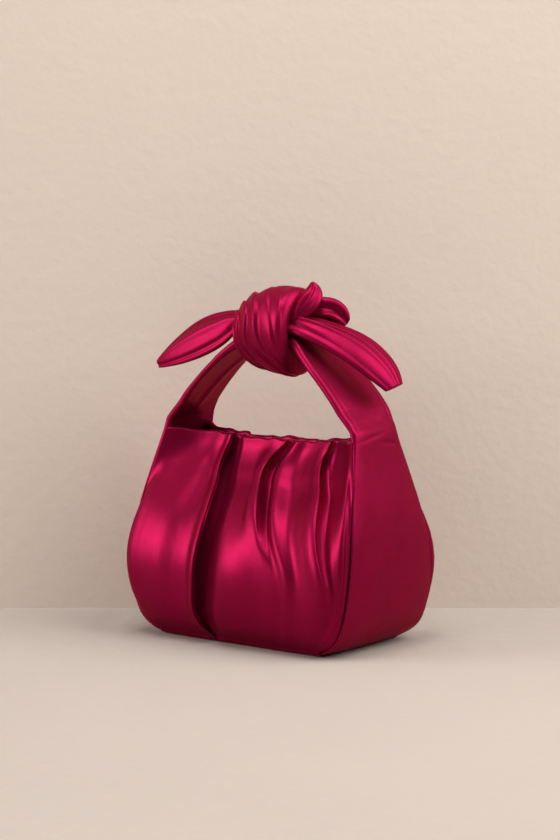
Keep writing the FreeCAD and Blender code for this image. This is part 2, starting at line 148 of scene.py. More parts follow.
# the wall is only there from its front, so that the bag can be seen from behind too
wall_tree = plaster.node_tree
side_seen = node(wall_tree, "ShaderNodeNewGeometry", (-200, 400))
clear = node(wall_tree, "ShaderNodeBsdfTransparent", (0, 500))
either = node(wall_tree, "ShaderNodeMixShader", (300, 300))
wall_tree.links.new(side_seen.outputs["Backfacing"], either.inputs["Fac"])
wall_tree.links.new(wall_tree.nodes["Principled BSDF"].outputs["BSDF"], either.inputs[1])
wall_tree.links.new(clear.outputs["BSDF"], either.inputs[2])
wall_tree.links.new(either.outputs["Shader"], wall_tree.nodes["Material Output"].inputs["Surface"])
wall.data.materials.append(plaster)


def soft_light(name, at, aim, size, power):
    """An area light at a place, turned to face a point."""
    data = bpy.data.lights.new(name, "AREA")
    data.shape = "RECTANGLE"
    data.size, data.size_y = size
    data.energy = power
    lamp = bpy.data.objects.new(name, data)
    lamp.location = at
    away = Vector(at) - Vector(aim)
    lamp.rotation_euler = away.to_track_quat("Z", "Y").to_euler()
    scene.collection.objects.link(lamp)


soft_light("key", (-2.15, -2.60, 1.30), (0, 0, 0.12), (1.8, 2.0), 93)
soft_light("top", (0.10, -0.45, 1.60), (0, 0, 0.1), (0.7, 0.7), 14)
soft_light("side", (1.10, 0.58, 1.28), (0.03, 0, 0.15), (1.7, 1.7), 52)
world = bpy.data.worlds.new("studio")
world.use_nodes = True
world.node_tree.nodes["Background"].inputs["Color"].default_value = (1.0, 0.95, 0.9, 1)
world.node_tree.nodes["Background"].inputs["Strength"].default_value = 0.165
scene.world = world

# ---- Side gussets and straps ----------------------------------------------------------------
# Each gusset is one long piece of berry satin over foam. It is wide at the base, narrows
# upwards, creases inwards above the mouth and goes on as a padded strap into the knot.
# It is sewn to both panels.


def curve_through(knots, points, at):
    """Natural cubic spline: on each span a cubic that meets its neighbours with equal slope
    and equal bend, and has no bend at its two ends."""
    knots, at = np.asarray(knots, float), np.asarray(at, float)
    points = np.asarray(points, float).reshape(len(knots), -1)
    span = np.diff(knots)
    slope = np.diff(points, axis=0) / span[:, None]
    system = np.eye(len(knots))
    inner = np.arange(1, len(knots) - 1)
    system[inner, inner - 1] = span[:-1]
    system[inner, inner] = 2 * (span[:-1] + span[1:])
    system[inner, inner + 1] = span[1:]
    right = np.zeros_like(points)
    right[1:-1] = 6 * np.diff(slope, axis=0)
    bend = np.linalg.solve(system, right)
    k = np.clip(np.searchsorted(knots, at, side="right") - 1, 0, len(knots) - 2)
    u, h = (at - knots[k])[:, None], span[k][:, None]
    a, b, p, q = bend[k], bend[k + 1], points[k], points[k + 1]
    return p + u * ((q - p) / h - h * (2 * a + b) / 6) + u**2 * a / 2 + u**3 * (b - a) / (6 * h)


def through_rows(table, samples):
    """The cubic curve through a table's rows, sampled evenly from the first to the last."""
    last = len(table) - 1
    return curve_through(np.arange(last + 1), table, np.linspace(0, last, samples))


def grid_faces(rows, columns, round_columns=False):
    """The four corners of each cell of a grid of points, joined round where a row closes."""
    i = np.arange(rows - 1)[:, None]
    j = np.arange(columns if round_columns else columns - 1)[None, :]
    up, along = i + 1, (j + 1) % columns
    corners = [i * columns + j, i * columns + along, up * columns + along, up * columns + j]
    return np.stack(np.broadcast_arrays(*corners), -1).reshape(-1, 4)


def grid_piece(name, grid, round_columns=False, flip=False):
    """A mesh over a grid of points, each row an open line or a closed ring."""
    rows, columns = grid.shape[:2]
    faces = grid_faces(rows, columns, round_columns=round_columns)
    if flip:
        faces = faces[:, ::-1]
    return mesh_piece(name, grid, faces)


def closed_tips(grid):
    """A grid with a row at each end drawn in to its middle, so that a tube is closed."""
    first, last = grid[:1].mean(1, keepdims=True), grid[-1:].mean(1, keepdims=True)
    shut, half_shut = 0.02, 0.6
    return np.concatenate([
        first + (grid[:1] - first) * shut, first + (grid[:1] - first) * half_shut, grid,
        last + (grid[-1:] - last) * half_shut, last + (grid[-1:] - last) * shut,
    ])


# the sewn edge between panel and gusset: x, y and z in millimetres, from the base to the rim
SEAM = np.array([
    (66.0, 42.8, 4.3), (74.0, 44.0, 7.4), (81.5, 44.8, 16.0), (86.4, 44.6, 33.0), (88.0, 42.8, 54.0),
    (86.6, 38.8, 78.0), (83.0, 32.4, 101.0), (79.0, 27.2, 120.0), (75.8, 23.9, 134.0),
])


def unit(vectors):
    """Vectors of length one."""
    return vectors / np.linalg.norm(vectors, axis=-1, keepdims=True)


def flat_ring(across_faces, round_edge):
    """Places round a flat padded section, anticlockwise: share of the width from -1 to 1,
    share of the thickness from -1 to 1, and the rounding of the edge beyond the flat."""
    w = np.linspace(-1, 1, across_faces)
    turn = np.linspace(90, -90, round_edge + 2)[1:-1] * np.pi / 180
    side = np.concatenate([w, np.ones(round_edge), w[::-1], -np.ones(round_edge)])
    thick = np.concatenate([np.ones_like(w), np.sin(turn), -np.ones_like(w), -np.sin(turn)])
    out = np.concatenate([0 * w, np.cos(turn), 0 * w, -np.cos(turn)])
    return side, thick, out


def gusset_strap(side, name, wave):
    """The outer line climbs the sewn edge, turns in at the crease and runs to the knot. At
    each step along it a flat section stands across it, with a crown that fades at the edges.
    Above the crease the section turns a little about the line."""
    # outer line x, z, half width, half thickness, crown, drop of the middle at the foot
    stations = np.array([
        (60.5, 1.3, 38.5, 0.5, 0.0, 0.0), (67.0, 3.0, 42.0, 0.7, 0.0, 1.4),
        (74.8, 7.6, 43.6, 0.7, 0.6, 1.2), (81.5, 16.0, 44.4, 0.7, 1.6, 0.0),
        (86.4, 33.0, 44.2, 0.7, 2.2, 0), (88.0, 54.0, 42.4, 0.7, 2.2, 0),
        (86.6, 78.0, 38.4, 0.7, 2.0, 0), (83.0, 101.0, 32.0, 0.7, 1.8, 0),
        (79.2, 120.0, 26.6, 1.0, 1.6, 0), (77.0, 131.0, 23.9, 1.9, 1.9, 0),
        (75.4, 138.0, 23.0, 2.1, 1.5, 0), (72.6, 143.2, 22.8, 2.1, 0.8, 0),
        (68.2, 149.4, 22.7, 2.1, 0.4, 0), (61.8, 157.6, 22.6, 2.1, 0.3, 0),
        (49.6, 170.6, 21.8, 2.2, 0.3, 0), (36.6, 182.2, 19.8, 2.6, 0.3, 0),
        (25.0, 191.2, 16.0, 3.4, 0.6, 0), (13.0, 200.0, 12.0, 4.6, 1.0, 0),
    ])
    x, z, half, thick, crown, drop = through_rows(stations, 200).T
    crown, drop = np.clip(crown, 0, None), np.clip(drop, 0, None)
    run = unit(np.stack([np.gradient(x), np.gradient(z)], -1))
    out = np.stack([run[:, 1], -run[:, 0]], -1)
    w, t, edge = flat_ring(64, 7)
    y = w[None] * (half - thick)[:, None] + edge[None] * thick[:, None] * 0.85
    share = np.clip(np.abs(y) / half[:, None], 0, 1)
    lift = crown[:, None] * (1 - share**4)
    strap = np.clip((z - 134) / 8, 0, 1)[:, None]
    # a shallow groove near each edge of the strap's outer face
    groove_at, groove_width = 5.2, 0.75
    from_edge = half[:, None] - np.abs(y)
    line = -0.14 * strap * (t[None] > 0.5) * np.exp(-((from_edge - groove_at) / groove_width) ** 2)
    wave_lift = wave(y, z[:, None], t[None] > 0)
    through = (t[None] - 1) * thick[:, None] + lift + line + wave_lift
    turned = np.clip((z - 138) / 12, 0, 1) * np.clip((196 - z) / 20, 0, 1)
    twist = 0.13 * y * turned[:, None]
    px = x[:, None] + twist + out[:, :1] * through
    pz = z[:, None] + out[:, 1:] * through - drop[:, None] * (1 - share**4)
    grid = np.stack([side * px, y, pz], -1)
    return grid_piece(name, closed_tips(grid), round_columns=True, flip=side < 0)


def right_wave(y, z, outer):
    """Soft dents of the right strap: a bent crease line, two short creases under it, and
    shallow sine ripples along the run."""
    fold_z = 141.5 + 0.05 * y + 0.5 * np.sin(0.45 * y)
    crease = 0.45 * np.exp(-((z - fold_z) / 2.6) ** 2)
    creases = 0.5 * np.exp(-((z - 134.5 - 0.14 * y) / 1.3) ** 2 - ((y + 6) / 10) ** 2)
    creases = creases + 0.45 * np.exp(-((z - 130 + 0.1 * y) / 1.5) ** 2 - ((y - 10) / 8) ** 2)
    run = 0.16 * np.sin(0.35 * y + 0.09 * z) * np.clip((z - 150) / 20, 0, 1)
    side = 0.4 * np.sin(0.11 * z + 0.5) * np.exp(-((y + 34) / 9) ** 2) * (z < 110)
    return np.where(outer, run + side, 0) - (crease + creases) * outer


def left_wave(y, z, outer):
    """The left strap: a ridge that leans along its inner face, and sine ripples outside."""
    ridge = 1.4 * np.exp(-((y - 3 - 0.25 * (z - 160)) / 3.2) ** 2) * np.clip((z - 144) / 8, 0, 1)
    ripple = 0.5 * np.sin(0.3 * y - 0.12 * z) * np.clip((z - 146) / 12, 0, 1)
    return np.where(outer, ripple, -ridge)


gusset_right = gusset_strap(1, "gusset_strap_right", right_wave)
gusset_left = gusset_strap(-1, "gusset_strap_left", left_wave)


def satin_group():
    """The look of heavy satin as one node group: colour from drifting dye, fine threads that
    change roughness, and a relief of threads on soft rumples."""
    group = bpy.data.node_groups.new("satin_surface", "ShaderNodeTree")
    group.interface.new_socket("Rumple", in_out="INPUT", socket_type="NodeSocketFloat")
    group.interface.new_socket("Color", in_out="OUTPUT", socket_type="NodeSocketColor")
    group.interface.new_socket("Roughness", in_out="OUTPUT", socket_type="NodeSocketFloat")
    group.interface.new_socket("Normal", in_out="OUTPUT", socket_type="NodeSocketVector")
    link = group.links.new
    given = node(group, "NodeGroupInput", (-1200, -300))
    out = node(group, "NodeGroupOutput", (600, 0))
    where = node(group, "ShaderNodeTexCoord", (-1400, 100))
    dye = node(group, "ShaderNodeTexNoise", (-1000, 300))
    dye.inputs["Scale"].default_value = 28
    dye.inputs["Detail"].default_value = 4
    colour = node(group, "ShaderNodeMix", (-600, 300), data_type="RGBA")
    colour.inputs["A"].default_value = (0.185, 0.0022, 0.024, 1)
    colour.inputs["B"].default_value = (0.262, 0.0040, 0.040, 1)
    link(where.outputs["Object"], dye.inputs["Vector"])
    link(dye.outputs["Fac"], colour.inputs["Factor"])
    link(colour.outputs["Result"], out.inputs["Color"])
    stretch = node(group, "ShaderNodeMapping", (-1200, 50))
    stretch.inputs["Scale"].default_value = (260, 260, 2600)
    thread = node(group, "ShaderNodeTexNoise", (-1000, 50))
    thread.inputs["Scale"].default_value = 1
    thread.inputs["Detail"].default_value = 2
    link(where.outputs["Object"], stretch.inputs["Vector"])
    link(stretch.outputs["Vector"], thread.inputs["Vector"])
    rough = node(group, "ShaderNodeMapRange", (-600, 50))
    rough.inputs["To Min"].default_value = 0.36
    rough.inputs["To Max"].default_value = 0.46
    link(thread.outputs["Fac"], rough.inputs["Value"])
    link(rough.outputs["Result"], out.inputs["Roughness"])
    rumple = node(group, "ShaderNodeTexNoise", (-1000, -250))
    rumple.inputs["Scale"].default_value = 34
    rumple.inputs["Detail"].default_value = 2
    rumple.inputs["Distortion"].default_value = 0.6
    drawn = node(group, "ShaderNodeMapping", (-1200, -250))
    drawn.inputs["Scale"].default_value = (1.6, 1.6, 0.45)
    link(where.outputs["Object"], drawn.inputs["Vector"])
    link(drawn.outputs["Vector"], rumple.inputs["Vector"])
    soft = node(group, "ShaderNodeBump", (-500, -250))
    soft.inputs["Distance"].default_value = 0.004
    link(given.outputs["Rumple"], soft.inputs["Strength"])
    link(rumple.outputs["Fac"], soft.inputs["Height"])
    fine = node(group, "ShaderNodeBump", (-200, -150))
    fine.inputs["Strength"].default_value = 0.25
    fine.inputs["Distance"].default_value = 0.0002
    link(thread.outputs["Fac"], fine.inputs["Height"])
    link(soft.outputs["Normal"], fine.inputs["Normal"])
    link(fine.outputs["Normal"], out.inputs["Normal"])
    return group


SATIN_SURFACE = satin_group()


def satin(name, rumple):
    """A satin material: a deep crimson body under a strong pink lustre."""
    made, tree, principled = material(
        name, (0.45, 0.008, 0.058), 0.42, Metallic=0.72, IOR=1.4, Specular_IOR_Level=0.3,
        Specular_Tint=(1.0, 0.16, 0.40, 1),
    )
    surface = node(tree, "ShaderNodeGroup", (-300, 0), node_tree=SATIN_SURFACE)
    surface.inputs["Rumple"].default_value = rumple
    for socket in ("Color", "Roughness", "Normal"):
        into = "Base Color" if socket == "Color" else socket
        tree.links.new(surface.outputs[socket], principled.inputs[into])
    return made


strap_satin = satin("strap_satin", 0.12)
for piece, side in ((gusset_right, "right"), (gusset_left, "left")):
    piece.data.materials.append(strap_satin)
    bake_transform(piece)
    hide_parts(f"gusset_{side}", f"gusset_foam_{side}", f"strap_{side}")

# ---- Base --------------------------------------------------------------------------------
# The base is a satin tray: its long edges roll up to the panels, and a stiff board lies in it.


def base_tray():
    """A profile across the bag, flat below and rolled up at both edges, drawn along its
    length. It narrows towards the ends by a square law, so that the corners are round."""
    flat_to, rolled_z, half_length, corner_from = 37.2, 2.2, 62, 40
    turn = np.linspace(-90, 70, 12) * np.pi / 180
    edge_y, edge_z = flat_to + 4.6 * np.cos(turn), rolled_z + rolled_z * np.sin(turn)
    flat = np.linspace(0, flat_to, 14)[:-1]
    half_y = np.concatenate([flat, edge_y, [flat_to]])
    half_z = np.concatenate([0 * flat, edge_z, [3.0]])
    profile_y = np.concatenate([-half_y[::-1], half_y[1:]])
    profile_z = np.concatenate([half_z[::-1], half_z[1:]])
    along = np.linspace(-half_length, half_length, 60)[:, None]
    to_corner = np.clip((np.abs(along) - corner_from) / (half_length - corner_from), 0, 1)
    across = profile_y[None] * (1 - 0.16 * to_corner**2)
    return np.stack(np.broadcast_arrays(along, across, profile_z[None]), -1)


base = grid_piece("base_satin", base_tray(), flip=True)
base.data.materials.append(strap_satin)
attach(base, "body")
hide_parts("base_panel")

# ---- Gathered panels -----------------------------------------------------------------------
# Front and back are padded satin, gathered into three deep folds that are caught in the rim
# and the base seam. The satin rolls over the rim and ends inside as the facing.

# height, and half the bag's width in the middle of the panel, in millimetres
BELLY = np.array([
    (0.0, 40.0), (4.0, 42.8), (12.0, 49.0), (26.0, 54.0), (46.0, 55.5), (64.0, 51.5), (80.0, 42.5),
    (92.0, 30.5), (101.0, 18.5), (107.0, 11.3), (112.0, 7.8), (118.0, 7.4), (126.0, 7.4), (140.0, 7.4),
])
seam_fine, belly_fine = through_rows(SEAM, 1601), through_rows(BELLY, 2601)


def wall_half(x, z, full=0.0):
    """Half the bag's width: the sewn edge's width, and more towards the middle of the panel,
    by the belly curve times one minus the 5.5th power of the share along x. Full adds the
    wadding's soft swell under the rim, a bell curve over the height."""
    edge_x = np.interp(z, seam_fine[:, 2], seam_fine[:, 0])
    edge_y = np.interp(z, seam_fine[:, 2], seam_fine[:, 1])
    share = np.clip(np.abs(x) / (edge_x - 1.6), 0, 1)
    swell = full * 6.2 * np.exp(-(((z - 109) / 9.5) ** 2))
    belly = np.interp(z, belly_fine[:, 0], belly_fine[:, 1]) + swell
    return edge_y + (belly - edge_y) * (1 - share**5.5)


def wall_point(x, z, out, full=0.0):
    """A point of the front wall, moved along the wall's outward direction, which is worked
    out from the slopes at a short step each way and leans sideways a little less than they do."""
    step, sideways = 0.6, 0.6
    slope_x = (wall_half(x + step, z, full) - wall_half(x - step, z, full)) / (2 * step)
    slope_z = (wall_half(x, z + step, full) - wall_half(x, z - step, full)) / (2 * step)
    normal = unit(np.stack([-slope_x * sideways, -np.ones_like(x), -slope_z], -1))
    return np.stack([x, -wall_half(x, z, full), z], -1) + normal * out[..., None]


# Lines down the front panel, from the left seam to the right: at each height, how far along
# the bag the line lies and how far it stands out of the wall.
LEVELS = np.array([4.3, 20, 36, 52, 70, 88, 104, 118, 131.0])
FOLD_LINES = np.array([
    # the left swell
    [(-58, -74, -79, -80, -79, -77, -74, -71, -68), (.5, 2.6, 4.8, 6, 6, 5, 3.2, 1.7, .4)],
    [(-50, -64, -69, -70, -69, -67, -64, -62, -60), (.8, 3, 5.3, 6.5, 6.6, 5.7, 3.9, 2.1, .6)],
    [(-44, -57, -61, -62, -61, -60, -58, -56, -54), (.9, 3, 5, 6, 6.2, 5.4, 3.9, 2.3, .8)],
    [(-38, -48, -51, -52, -51, -51, -50, -49, -48), (.8, 2.6, 4.2, 5.1, 5.3, 4.8, 3.6, 2.3, .8)],
    [(-30, -38, -40, -40, -39.5, -41, -43, -43.5, -41), (.6, 1.4, 2, 2.4, 2.6, 2.6, 2.2, 1.5, .6)],
    # the first fold: a flat band, its thin lip, under the lip, the floor of its recess
    [(-23.5, -31, -30.8, -29.8, -29.3, -32.3, -38, -39.5, -36.5), (1, 1.6, 1.8, 2, 2.1, 2, 1.8, 1.6, 1)],
    [(-20, -26.2, -25.4, -24.4, -23.8, -26.8, -33.2, -35.6, -33),
     (1.5, 3.9, 4.6, 5, 5.2, 5.1, 4.7, 3.8, 2.3)],
    [(-18, -23.6, -22.8, -21.8, -21.2, -24.2, -30.8, -33.4, -31),
     (1.5, 4.1, 4.8, 5.2, 5.4, 5.3, 4.8, 3.9, 2.3)],
    [(-18.6, -24.4, -23.6, -22.6, -22, -25, -31.6, -34, -31.4), (.5, 2, 2.4, 2.6, 2.8, 2.6, 2.1, 1.5, .9)],
    [(-21, -28.5, -28.5, -28.5, -28, -30.5, -36.5, -37.5, -33), (-.4, .2, .4, .6, .8, .6, .2, 0, -.2)],
    [(-20, -27.5, -28, -28, -27.5, -30, -35.5, -36.5, -32),
     (-1, -2.2, -3.2, -3.9, -4.1, -3.8, -3.6, -3.2, -1.2)],
    [(-14.5, -16.5, -15.5, -14.5, -14.5, -17, -23.5, -27, -26),
     (-1, -2.2, -3.4, -4.1, -4.2, -3.9, -3.7, -3.3, -1.2)],
    [(-12, -12, -9.5, -8, -8, -10.5, -17, -22, -23), (-.1, .4, .6, .8, 1, .8, .6, .4, .3)],
    [(-9, -7, -4.5, -3, -3, -5, -11.5, -17, -20), (.6, 2, 3, 3.3, 2.8, 1.7, .9, .7, .6)],
    [(4, 8, 10, 10, 8, 4, -3, -7, -7), (.8, 2.4, 4, 4.6, 4.1, 2.7, 1.8, 1.3, .8)],
    # the second fold, which dies out in a round valley half-way down
    [(20, 26, 29, 26, 18, 8, -.5, -.5, 8.5), (.5, 1.4, 2, 2.8, 5, 6.4, 5.6, 4, 2.4)],
    [(28, 34, 37, 33.5, 25, 15, 5.2, 4.8, 13.4), (.4, 1.2, 1.8, 2.5, 4.8, 6.4, 5.6, 3.9, 2.2)],
    [(32, 38, 41, 38, 26.6, 15.2, 5, 4.4, 13.2), (.3, .9, 1.4, 2, 3.6, 3.8, 2.8, 1.8, .8)],
    [(36, 42, 44, 42, 30.5, 18.5, 8.5, 7.6, 15.6), (.3, .7, 1.1, 1.5, .6, -2.6, -2.8, -2.3, -1.1)],
    [(40, 46, 49, 48, 37, 25.5, 15.5, 14, 20.5), (.4, 1, 1.6, 2.4, 3, 3.4, 3, 2.2, 1.2)],
    [(46, 53, 56, 55, 47, 37, 28, 25, 28), (.3, .5, .5, .3, .1, -.4, -.6, -.4, -.2)],
    [(52, 60, 64, 63, 56, 48, 40, 35, 39), (.4, 1.2, 1.8, 2.4, 2.6, 2.4, 1.9, 1.4, .9)],
    # the third fold, and the roll beside the right seam
    [(56.5, 67, 72.5, 70.5, 64, 57, 48, 42.4, 46.5), (.4, 1.6, 3, 5, 5.6, 5.6, 4.8, 3.6, 2.4)],
    [(59, 71, 76.5, 74.3, 67.6, 60.8, 51.8, 45.8, 50), (.3, 1, 2.2, 4.2, 5, 5, 4.3, 3.2, 2.1)],
    [(60.4, 73, 78, 74.8, 67.6, 60.6, 51.5, 45.5, 49.7), (.2, .6, 1, 2, 3, 3, 2.6, 1.8, .9)],
    [(61.6, 75, 79.4, 76.8, 70.6, 64, 55, 48.8, 52.5), (.2, .5, .4, -.8, -2, -2.4, -2.2, -1.8, -.9)],
    [(62.4, 77.4, 81.8, 80.6, 76.6, 71.5, 63.5, 57.5, 58.5), (.4, 1.1, 1.6, 1.2, .2, -.6, -.8, -.6, -.3)],
    [(63.2, 79.4, 83.4, 84.4, 83.2, 81, 77.6, 74, 71), (.3, 1.2, 2.2, 3, 3.2, 3, 2.6, 1.8, .8)],
])


def across_lines(lines, cells):
    """Catmull-Rom curve across the lines, parametrised by the root of their distance, with
    as many cells on each span as its width needs."""
    before, after = 2 * lines[:, :1] - lines[:, 1:2], 2 * lines[:, -1:] - lines[:, -2:-1]
    ends = np.concatenate([before, lines, after], 1)
    parts = []
    for k in range(lines.shape[1] - 1):
        p = [ends[:, k + i][:, None] for i in range(4)]
        apart = [np.linalg.norm(p[i + 1] - p[i], axis=-1, keepdims=True) for i in range(3)]
        gap = [length**0.5 + 1e-6 for length in apart]
        t0, t1, t2 = 0, gap[0], gap[0] + gap[1]
        t3 = t2 + gap[2]
        u = np.linspace(0, 1, cells[k] + 1)[None, :-1, None]
        t = t1 + u * (t2 - t1)
        a1 = ((t1 - t) * p[0] + (t - t0) * p[1]) / (t1 - t0)
        a2 = ((t2 - t) * p[1] + (t - t1) * p[2]) / (t2 - t1)
        a3 = ((t3 - t) * p[2] + (t - t2) * p[3]) / (t3 - t2)
        b1 = ((t2 - t) * a1 + (t - t0) * a2) / (t2 - t0)
        b2 = ((t3 - t) * a2 + (t - t1) * a3) / (t3 - t1)
        parts.append(((t2 - t) * b1 + (t - t1) * b2) / (t2 - t1))
    return np.concatenate(parts + [lines[:, -1:]], 1)


# how far the rim hangs lower in its middle than at its ends
RIM_SAG = 4.5


def gathered_face(seen_from_back):
    """Rows climb the sewn edge. Each row crosses the fold lines at its height, and its points
    stand out of the wall by the curve across them, with a soft puff beside each seam. The
    rows sag in the middle, more towards the rim, and the back face puffs more at its right.
    Gives the face, and at the rim x, z and the width's limit."""
    rows = 120
    edge = curve_through(np.arange(9), SEAM, np.linspace(0, 7.78, rows))
    level = edge[:, 2]
    shaped = np.moveaxis(FOLD_LINES, 2, 0).reshape(9, -1)
    lines = curve_through(LEVELS, shaped, level).reshape(rows, -1, 2)
    limit = (edge[:, 0] - 1.6)[:, None]
    rim_share = ((level - level[0]) / (level[-1] - level[0]))[:, None]
    seam_left = np.stack([-limit, np.full((rows, 1), -0.5)], -1)
    seam_right = np.stack([limit, np.full((rows, 1), -0.5)], -1)
    roll = 1.0 - 0.4 * rim_share
    left_in = np.stack([-limit + 2.2, roll], -1)
    right_in = np.stack([limit - 1.6, roll * 0.8], -1)
    lines = np.concatenate([seam_left, left_in, lines, right_in, seam_right], 1)
    gaps = np.linalg.norm(np.diff(lines, axis=1), axis=-1).mean(0)
    cells = np.clip(np.ceil(gaps / 1.1), 4, 14).astype(int)
    surface = across_lines(lines, cells)
    x, out = surface[..., 0], surface[..., 1]
    w = np.clip(np.abs(x) / edge[:, :1], 0, 1)
    up = rim_share**1.5
    sag = RIM_SAG * (1 - w**2) * up
    hang = 2.2 * np.clip((x - 5) / 45, 0, 1) * np.exp(-(((level[:, None] - level[0]) / 9) ** 2))
    bumps = 0.5 * np.sin(x / 7.3 + 1) + 0.35 * np.sin(x / 3.4 + 0.06 * x) + 0.25 * np.sin(x / 1.9)
    z = level[:, None] - sag - hang * (1 - w**6) + bumps * (1 - w**8) * rim_share**8
    out = out * np.clip(0.35 + 9 * rim_share, 0, 1)
    from_seam = limit - np.abs(x)
    near_seam = np.exp(-((from_seam - 9) / 7.5) ** 2) * np.clip(from_seam / 4, 0, 1)
    puff = np.where(x < 0, 1.5, 2.2 + 5.0 * seen_from_back) * np.exp(-((level[:, None] - 52) / 34) ** 2)
    out = out + near_seam * puff
    return wall_point(x, z, out, full=1.0), x[-1], z[-1], limit[-1]


def rim_and_facing(rim, rim_x, rim_z, limit):
    """The satin rolls over the rim on part of an ellipse, from its outer edge to a place
    behind the wall's surface, and goes straight down inside as the facing."""
    height, facing_long, clear_of_seam = 1.5, 26, 3.4
    inner_x = rim_x * 0.985
    turn = np.linspace(25, 155, 5)[:, None] * np.pi / 180
    back = wall_point(inner_x, rim_z, np.full(inner_x.shape, -3.4))
    middle, half = (rim + back) / 2, (rim - back) / 2
    over = middle[None] + half[None] * np.cos(turn)[..., None]
    over = over + np.array([0, 0, height]) * np.sin(turn)[..., None]
    down = np.linspace(0, facing_long, 16)[:, None]
    kept_x = np.clip(inner_x[None], -limit + clear_of_seam, limit - clear_of_seam)
    x, z = np.broadcast_arrays(kept_x, rim_z[None] - down)
    return np.concatenate([over, wall_point(x, z, np.full(x.shape, -3.5))])


def turned_foot(low):
    """Under the lowest row the satin turns in to the base seam on a quarter of an ellipse."""
    inwards, seam_z = 5.5, 0.5
    under = np.linspace(90, 12, 6)[:, None] * np.pi / 180
    x, y, z = low.T[:, None]
    y, z = y + inwards * (1 - np.cos(under)), z - (z - seam_z) * np.sin(under)
    return np.stack(np.broadcast_arrays(x, y, z), -1)


def folded_panel(name, flip_y):
    """The foot, the gathered face, the rolled rim and the facing as one surface, turned in
    at both seams. The back panel is mirrored through the bag."""
    face, rim_x, rim_z, limit = gathered_face(flip_y)
    inside = rim_and_facing(face[-1], rim_x, rim_z, limit)
    grid = np.concatenate([turned_foot(face[0]), face, inside])
    tuck_left, tuck_right = grid[:, :1] + [1.0, 2.2, 0], grid[:, -1:] + [-1.0, 2.2, 0]
    grid = np.concatenate([tuck_left, grid, tuck_right], 1)
    if flip_y:
        grid = grid * [1, -1, 1]
    return grid_piece(name, grid, flip=flip_y)


panel_satin = satin("panel_satin", 0.10)
for side, flipped in (("front", False), ("back", True)):
    panel = folded_panel(f"{side}_satin", flipped)
    panel.data.materials.append(panel_satin)
    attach(panel, f"{side}_mouth")
    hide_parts(f"{side}_panel", f"{side}_foam", f"{side}_facing")

# ---- Linings and slip pocket -----------------------------------------------------------------
# A plain woven lining in dusty pink hangs behind every wall, lies on the base board, and has
# an open slip pocket sewn on at the back. Each piece is one cut of cloth, loosely rippled.


def cut_of(grid):
    """The flat size of a cut that makes this surface: its longest row by its longest column in
    metres, and the area of its cells in square metres."""
    along = np.linalg.norm(np.diff(grid, axis=1), axis=-1).sum(1).max()
    down = np.linalg.norm(np.diff(grid, axis=0), axis=-1).sum(0).max()
    a, b, c, d = grid[:-1, :-1], grid[:-1, 1:], grid[1:, 1:], grid[1:, :-1]
    area = np.linalg.norm(np.cross(c - a, d - b), axis=-1).sum() / 2
    return (along * MM, down * MM), area * MM**2


def ripples(across, up):
    """Loose cloth: long waves that lean a little."""
    return 0.22 * np.sin(across / 5.5 + up / 31) + 0.12 * np.sin(across / 3.1 - up / 17 + 2)


def wall_cloth(low, high, reach, depth):
    """A sheet behind the front wall from a low to a high level, as wide as the wall less a
    reach at each seam, at a depth under the satin. It hangs loose from its edges: one minus
    an eighth power both ways."""
    up = np.linspace(0, 1, 60)[:, None]
    w = np.linspace(-1, 1, 110)[None]
    z = low + (high - low) * up
    limit = np.interp(z, seam_fine[:, 2], seam_fine[:, 0]) - reach
    x = w * limit
    z = z - RIM_SAG * (1 - w**2) * up**1.5
    free = 1 - w**8
    loose = 2.9 * (1 - (2 * up - 1) ** 8) * free
    return wall_point(x, z, -depth - loose - ripples(x, z) * free * (1 - (2 * up - 1) ** 6))


def end_cloth(side):
    """A sheet behind a side gusset: the sewn edge's line moved in, and as wide as the gusset."""
    up = np.linspace(0, 1, 50)[:, None]
    w = np.linspace(-1, 1, 50)[None]
    low, high = 6.5, 115.5
    z = low + (high - low) * up
    half = np.interp(z, seam_fine[:, 2], seam_fine[:, 1]) - 6.2
    y = w * half
    x = np.interp(z, seam_fine[:, 2], seam_fine[:, 0]) - 3.6
    x = x + 1.2 * (1 - w**4) + ripples(y, z) * (1 - w**8)
    return np.stack(np.broadcast_arrays(side * x, y, z), -1)


def base_cloth():
    """A flat sheet on the board, with corners that are quarter circles."""
    half_length, half_width, bend, level = 65, 37.5, 8, 3.9
    up = np.linspace(-1, 1, 40)[:, None]
    x = half_length * np.linspace(-1, 1, 80)[None]
    past = np.clip(np.abs(x) - (half_length - bend), 0, bend)
    y = up * (half_width - bend + np.sqrt(bend**2 - past**2))
    z = level + 0.12 * np.sin(x / 9) * np.cos(y / 7)
    return np.stack(np.broadcast_arrays(x, y, z), -1)


def pocket_cloth():
    """A sheet that lies on the back lining, with its top edge a little open."""
    up = np.linspace(0, 1, 44)[:, None]
    w = np.linspace(-1, 1, 90)[None]
    half_width, foot, height, depth = 42, 34.4, 35.4, 8.1
    x, z = np.broadcast_arrays(half_width * w, foot + height * up)
    gape = 1.4 * up**2 * (1 - w**2)
    return wall_point(x, z, -depth - gape - 0.4 * ripples(x, z) * (1 - w**8)) * [1, -1, 1]


LINING_THICK = 0.8


def cloth(name, grid, flip):
    """A cut of lining with its thickness behind its face, and its flat size."""
    piece = grid_piece(name, grid, flip=flip)
    ply = piece.modifiers.new("thickness", "SOLIDIFY")
    ply.thickness = LINING_THICK * MM
    ply.offset = -1
    piece.data.materials.append(lining_cloth)
    flat, area = cut_of(grid)
    return piece, flat, area


